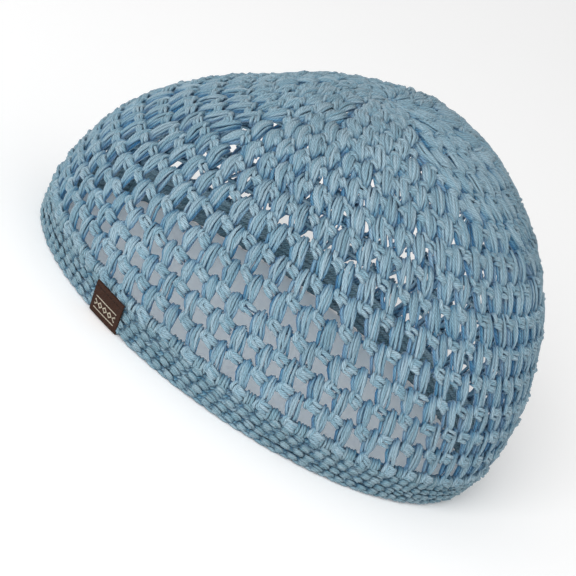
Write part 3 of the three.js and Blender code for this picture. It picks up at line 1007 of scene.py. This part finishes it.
def stitch_round(height, turned):
    """One round of single crochet: three strands for each stitch, arched one under the other."""
    walked = walk_to_height(height)
    angles = stitch_angles(turned) + band_randoms.uniform(-ANGLE_JITTER, ANGLE_JITTER, BAND_STITCHES)
    whole = band_randoms.uniform(-STITCH_JITTER, STITCH_JITTER, (BAND_STITCHES, 1, 3))
    batches = []
    for arch in (UPPER_ARCH, MIDDLE_ARCH, LOWER_ARCH):
        paths = squeezed(repeated(arch, BAND_STITCHES, STRAND_JITTER) + whole, angles, walked)
        batches.append(lay(paths, np.full(BAND_STITCHES, walked), angles, STITCH_RADIUS, 8, False))
    return batches


# %% The braid along the rim, and the strands inside
BRAID_HEIGHT = 0.85            # mm from the rim up to the braid
BRAID_RADIUS = 0.62
BRAID_JITTER = 0.12            # mm
BRAID_TURN = 0.01              # radians that the braid is turned on from the first round
BRAID = np.array([             # in mm from the middle of a stitch
    BarKnot(-2.9, 0.15, -1.20),
    BarKnot(-1.3, -0.3, -0.25),
    BarKnot(0.8, -0.1, -0.20),
    BarKnot(2.9, 0.3, -1.20),
])
BRAID_INNER = (1.2, 0.0, -1.3)         # mm from the braid's outer strand to its inner one
INNER_HEIGHTS = (12.9, 10.7, 8.5, 6.3, 4.1, 1.9)       # mm above the rim
INNER_DEPTH = 1.7              # mm under the face
INNER_RADIUS = 1.3
INNER_REACH = 0.56             # of the spacing, to either side, so that the lengths overlap
LIFTED_BELOW = 2.0             # mm above the rim


def edge_round():
    """The braid along the rim, two strands for each stitch."""
    walked = walk_to_rim - BRAID_HEIGHT
    angles = stitch_angles(BRAID_TURN)
    batches = []
    for shift in ((0.0, 0.0, 0.0), BRAID_INNER):
        paths = squeezed(repeated(BRAID + shift, BAND_STITCHES, BRAID_JITTER), angles, walked)
        paths = over_label(paths, angles)
        batches.append(lay(paths, np.full(BAND_STITCHES, walked), angles, BRAID_RADIUS, 6, False))
    return batches


def inner_ring(height):
    """A thick strand inside the fabric, all the way round in short lengths."""
    walked = np.full(BAND_STITCHES, walk_to_height(height))
    angles = stitch_angles(0.0)
    reach = face_speed(place_at(walked), angles) * 2 * math.pi / BAND_STITCHES * INNER_REACH
    paths = np.zeros((BAND_STITCHES, 3, 3))
    paths[:, :, 0] = reach[:, None] * [-1.0, 0.0, 1.0]
    paths[:, :, 2] = -INNER_DEPTH
    if height < LIFTED_BELOW:
        paths = over_label(paths, angles)
    return lay(paths, walked, angles, INNER_RADIUS, 3, False, tip=1.0)


band_batches = upright_round(puffs_by_round[0])
for index, round_height in enumerate(ROUND_HEIGHTS):
    band_batches += stitch_round(round_height, ROUND_SLIP * index)
band_batches += edge_round()
band_batches += [inner_ring(height) for height in INNER_HEIGHTS]
band_piece = yarn_piece("band_stitches", band_batches, band_cotton)
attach(band_piece, "root")
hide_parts("edge_band")

# %% [markdown]
# ## The label
#
# The label is a strip of dark brown damask, a dense weave of fine polyester threads. Its ends are turned
# in and it is folded over the rim and sewn through the band, so one leaf lies outside and one inside. A
# strip of cloth could be a curve given a width, but a grid that is carried along the fold keeps an even
# pattern of threads, and a Solidify modifier gives it the thickness of its two layers. Its woven
# pattern is a plain row of lozenges between two lines, as on a ribbon.

# %% The fold
LeafPlace = namedtuple("LeafPlace", "inward top")
OUTER_LEAF = LeafPlace(-0.8, 12.35)    # mm in from the band's outer face, and above the floor
INNER_LEAF = LeafPlace(3.8, 10.45)
TOP_OFF = 1.1                  # mm that the outer leaf's top stands further off, over the net's knots
FOLD_HEIGHT = 0.6              # mm from the floor to the middle of the strip under the rim
FOLD_RADIUS = 0.7


def fold_line():
    """The middle of the strip from the top of the outer leaf to that of the inner: inward, height."""
    turn = np.linspace(0, math.pi / 2, 6)
    rounded = FOLD_RADIUS * (1 - np.cos(turn))
    dropped = FOLD_RADIUS * np.sin(turn)
    low = FOLD_HEIGHT + FOLD_RADIUS
    outer = np.stack([OUTER_LEAF.inward + rounded, low - dropped], axis=1)
    inner = np.stack([INNER_LEAF.inward - rounded, low - dropped], axis=1)[::-1]
    return np.vstack([(OUTER_LEAF.inward - TOP_OFF, OUTER_LEAF.top), outer, inner, INNER_LEAF])


label_line = fold_line()
label_walk = np.concatenate([[0], np.cumsum(np.linalg.norm(np.diff(label_line, axis=0), axis=1))])
LABEL_LENGTH = float(label_walk[-1])
print("label", LABEL_WIDTH, "by", round(LABEL_LENGTH, 1), "mm laid flat")


# %% The folded strip
LEAF_LEAN = 0.16               # mm sideways for each mm of height
LEAF_CURL = 0.35               # mm that the side edges of the outer leaf stand off


def band_point(angle, inward, height):
    """A point of the band, inward mm level from its outer face at that height."""
    ring = ring_at(RIM_RING - height / (tall * RINGS[BAND_RING].height))
    length, width, shift = ring[..., 1], ring[..., 2], ring[..., 3]
    across = np.stack([np.cos(angle) / length, np.sin(angle) / width], axis=-1)
    level = np.stack([shift + length * np.cos(angle), width * np.sin(angle)], axis=-1)
    level = level - unit(across) * inward[..., None]
    return np.concatenate([level, height[..., None]], axis=-1)


def label_places(across, along):
    """Where the points of the flat strip lie once it is folded over the rim, in mm."""
    inward, height = (np.interp(along, label_walk, label_line[:, column]) for column in range(2))
    inside = np.clip(inward / INNER_LEAF.inward, 0, 1)
    up_leaf = np.clip(height / OUTER_LEAF.top, 0, 1)
    curl = LEAF_CURL * (2 * across / LABEL_WIDTH) ** 4 * up_leaf * (inside == 0)
    drift = LEAF_LEAN * height * (2 * inside - 1)
    speed = face_speed(np.array([float(RIM_RING)]), np.array([LABEL_ANGLE]))
    return band_point(LABEL_ANGLE + (across + drift) / speed, inward - curl, height)


def label_mesh():
    strip = bmesh.new()
    bmesh.ops.create_grid(strip, x_segments=16, y_segments=40, size=0.5)
    weave = strip.loops.layers.uv.new("weave")
    for polygon in strip.faces:
        for loop in polygon.loops:
            flat = loop.vert.co
            loop[weave].uv = (flat.x * LABEL_WIDTH, (0.5 - flat.y) * LABEL_LENGTH)
    flat = np.array([vertex.co for vertex in strip.verts])
    places = label_places(flat[:, 0] * LABEL_WIDTH, (0.5 - flat[:, 1]) * LABEL_LENGTH)
    for vertex, place in zip(strip.verts, places):
        vertex.co = Vector(place) * MM
    mesh = bpy.data.meshes.new("label_strip")
    strip.to_mesh(mesh)
    strip.free()
    mesh.polygons.foreach_set("use_smooth", np.ones(len(mesh.polygons), bool))
    print("label grid", len(mesh.polygons), "faces")
    return mesh


# %% The weave's pattern
THREAD_SPACING = 0.5           # mm, twice as coarse as real damask so that it shows
LOZENGE = 2.6                  # mm from one lozenge to the next, and their height
LOZENGE_INSET = 0.35           # mm from a lozenge's corners in to the middle of its outline
LOZENGE_LINE = 0.3             # mm, half the width of the outline, measured towards a corner
MOTIF_MIDDLE = 7.3             # mm below the top of the outer leaf
MOTIF_WIDTH = 11.0             # mm
LINE_OFFSET = 2.2              # mm from the middle of the lozenges to each line
LINE_HALF = 0.2                # mm, half the width of a line
HEM = 1.6                      # mm from the end of a leaf to its sewing line
SEAM_HALF = 0.22               # mm, half the width of the sewing
STITCH_HALF = 0.9              # mm, half of a stitch with the gap after it
STITCH_GAP = 0.25              # mm, half of that gap
SEAM_SINK = -1.5               # how far the sewing sinks, where a rib of the weave rises 1
WeaveStep = namedtuple("WeaveStep", "name operation first second third", defaults=(0.0, 0.0))
WEAVE = [                      # sums on mm across and along the label, and on the results above them
    WeaveStep("across_turns", "MULTIPLY", "across", math.pi / THREAD_SPACING),
    WeaveStep("along_turns", "MULTIPLY", "along", math.pi / THREAD_SPACING),
    WeaveStep("warp", "SINE", "across_turns"),
    WeaveStep("weft", "SINE", "along_turns"),
    WeaveStep("crossing", "MULTIPLY", "warp", "weft"),
    WeaveStep("below", "SUBTRACT", "along", MOTIF_MIDDLE),
    WeaveStep("from_middle", "ABSOLUTE", "below"),
    WeaveStep("zigzag", "PINGPONG", "across", LOZENGE / 2),
    WeaveStep("diamond", "ADD", "zigzag", "from_middle"),
    WeaveStep("outline", "COMPARE", "diamond", LOZENGE / 2 - LOZENGE_INSET, LOZENGE_LINE),
    WeaveStep("lines", "COMPARE", "from_middle", LINE_OFFSET, LINE_HALF),
    WeaveStep("figure", "MAXIMUM", "outline", "lines"),
    WeaveStep("from_side", "ABSOLUTE", "across"),
    WeaveStep("in_width", "LESS_THAN", "from_side", MOTIF_WIDTH / 2),
    WeaveStep("motif", "MULTIPLY", "figure", "in_width"),
    WeaveStep("from_end", "PINGPONG", "along", LABEL_LENGTH / 2),
    WeaveStep("on_seam", "COMPARE", "from_end", HEM, SEAM_HALF),
    WeaveStep("from_stitch", "PINGPONG", "across", STITCH_HALF),
    WeaveStep("in_stitch", "GREATER_THAN", "from_stitch", STITCH_GAP),
    WeaveStep("seam", "MULTIPLY", "on_seam", "in_stitch"),
    WeaveStep("sunk", "MULTIPLY_ADD", "seam", SEAM_SINK, "crossing"),
    WeaveStep("relief", "ADD", "sunk", "motif"),
]
print("lozenges across the label", round(MOTIF_WIDTH / LOZENGE, 1), "and sums", len(WEAVE))


# %% Woven damask
RIB_SHADE = 0.75               # how light the painted shade leaves the weave between its ribs
WEAVE_DEPTH = 0.12             # mm
WEAR_SHADES = (0.85, 1.15)     # how dark and how light its worn patches are
WEAR_SIZE = 2.0                # mm


def damask(name, ground, thread, sewing):
    """Dense woven polyester: a soft shine, fine ribs where the threads cross, and painted shade between the
    ribs.
    """
    material = new_material(name)
    uv = add_node(material, "ShaderNodeUVMap", {"uv_map": "weave"}, output="UV")
    split = add_node(material, "ShaderNodeSeparateXYZ", inputs={"Vector": uv})
    sums = {"across": split.outputs["X"], "along": split.outputs["Y"]}
    for step in WEAVE:
        inputs = {place: sums.get(value, value) for place, value in enumerate(step[2:])}
        sums[step.name] = add_node(material, MATH, {"operation": step.operation}, inputs, "Value")
    colour = add_node(material, "ShaderNodeValToRGB", inputs={"Fac": sums["motif"]})
    colour.color_ramp.elements[0].color = linear(ground)
    colour.color_ramp.elements[1].color = linear(thread)
    shade = add_node(
        material, MAP, inputs={"Value": sums["seam"], "To Min": 1.0, "To Max": sewing}, output="Result"
    )
    # painted shade: darker where the weave's bump sinks between the ribs
    ribs = add_node(
        material, MAP, inputs={"Value": sums["crossing"], "From Min": -1.0, "To Min": RIB_SHADE},
        output="Result",
    )
    wear = soft_spots(material, uv, 1 / WEAR_SIZE, *WEAR_SHADES)
    woven = add_node(material, MATH, {"operation": "MULTIPLY"}, {0: shade, 1: ribs}, "Value")
    worn = add_node(material, MATH, {"operation": "MULTIPLY"}, {0: woven, 1: wear}, "Value")
    shaded = add_node(
        material, "ShaderNodeHueSaturation", inputs={"Color": colour.outputs["Color"], "Value": worn},
        output="Color",
    )
    bump = add_node(
        material, "ShaderNodeBump",
        inputs={"Height": sums["relief"], "Strength": 0.6, "Distance": WEAVE_DEPTH * MM}, output="Normal",
    )
    shader = add_node(
        material, "ShaderNodeBsdfPrincipled",
        inputs={"Base Color": shaded, "Normal": bump, "Roughness": 0.6, "Specular IOR Level": 0.15},
    )
    add_node(material, "ShaderNodeOutputMaterial", inputs={"Surface": shader.outputs["BSDF"]})
    print("finish", name, ground, thread)
    return material


# %% The label's piece
LABEL_THICKNESS = 0.9          # mm, two layers
LABEL_ROUNDING = 0.2           # mm, along its edges

label_piece = bpy.data.objects.new("label_strip", label_mesh())
label_piece.data.materials.append(damask("damask_label", ground="331E14", thread="A59D8D", sewing=0.45))
bpy.context.scene.collection.objects.link(label_piece)
layers = label_piece.modifiers.new("layers", "SOLIDIFY")
layers.thickness = LABEL_THICKNESS * MM
layers.offset = 0.0
rounding = label_piece.modifiers.new("rounding", "BEVEL")
rounding.width = LABEL_ROUNDING * MM
rounding.segments = 2
rounding.limit_method = "ANGLE"
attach(label_piece, "root")
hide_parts("label_tab")

# %% [markdown]
# ## Floor and light
#
# A product picture is taken on a white sweep under large soft lights. The sky of the scene stands for
# the white walls of the studio and lights the cap evenly from all sides. One large lamp in front and to
# the left models the stitches a little and lays a soft shadow along the rim. The cap's inside would be
# black behind the gaps, so a small weak lamp in it stands for the light that a white card inside throws
# back. The floor is white, matt paper that glows a little, as a sweep does with lamps under it, so that
# no shadow spreads far.

# %% Stage
FLOOR_SIZE = 6.0               # m
FLOOR_GLOW = 0.1               # how much it is lit by lamps under the sweep
SKY_LOW = 1.6                  # how bright the studio's walls are
SKY_HIGH = 0.25                # and its ceiling
Lamp = namedtuple("Lamp", "name place target size power")
LAMPS = [                      # places and sizes in m, power in W
    Lamp("soft_front", (-0.3, -1.1, 0.65), (0.0, 0.0, 0.05), 0.6, 12.0),
    Lamp("card_inside", (0.0, 0.0, 0.006), (0.0, 0.0, 0.1), 0.1, 0.09),
]


def add_floor():
    grid = bmesh.new()
    bmesh.ops.create_grid(grid, x_segments=1, y_segments=1, size=FLOOR_SIZE / 2)
    data = bpy.data.meshes.new("floor")
    grid.to_mesh(data)
    grid.free()
    floor = bpy.data.objects.new("floor", data)
    bpy.context.scene.collection.objects.link(floor)
    material = new_material("white_paper")
    shader = add_node(
        material, "ShaderNodeBsdfPrincipled",
        inputs={
            "Base Color": linear("FAFAFA"), "Roughness": 0.9, "Specular IOR Level": 0.1,
            "Emission Color": linear("FFFFFF"), "Emission Strength": FLOOR_GLOW,
        },
    )
    add_node(material, "ShaderNodeOutputMaterial", inputs={"Surface": shader.outputs["BSDF"]})
    data.materials.append(material)


def add_lamp(lamp):
    data = bpy.data.lights.new(lamp.name, "AREA")
    data.energy = lamp.power
    data.size = lamp.size
    light = bpy.data.objects.new(lamp.name, data)
    light.location = lamp.place
    light.rotation_mode = "QUATERNION"
    light.rotation_quaternion = (Vector(lamp.target) - Vector(lamp.place)).to_track_quat("-Z", "Y")
    light.visible_camera = False
    bpy.context.scene.collection.objects.link(light)
    print("lamp", lamp.name, lamp.power, "W")


def add_sky():
    sky = bpy.data.worlds.new("studio")
    bpy.context.scene.world = sky
    sky.use_nodes = True
    direction = add_node(sky, "ShaderNodeTexCoord", output="Generated")
    split = add_node(sky, "ShaderNodeSeparateXYZ", inputs={"Vector": direction})
    strength = add_node(
        sky, MAP, inputs={"Value": split.outputs["Z"], "To Min": SKY_LOW, "To Max": SKY_HIGH},
        output="Result",
    )
    background = sky.node_tree.nodes["Background"]
    background.inputs["Color"].default_value = linear("FFFFFF")
    sky.node_tree.links.new(strength, background.inputs["Strength"])


add_floor()
add_sky()
for stage_lamp in LAMPS:
    add_lamp(stage_lamp)
bpy.context.scene.view_settings.view_transform = "Standard"
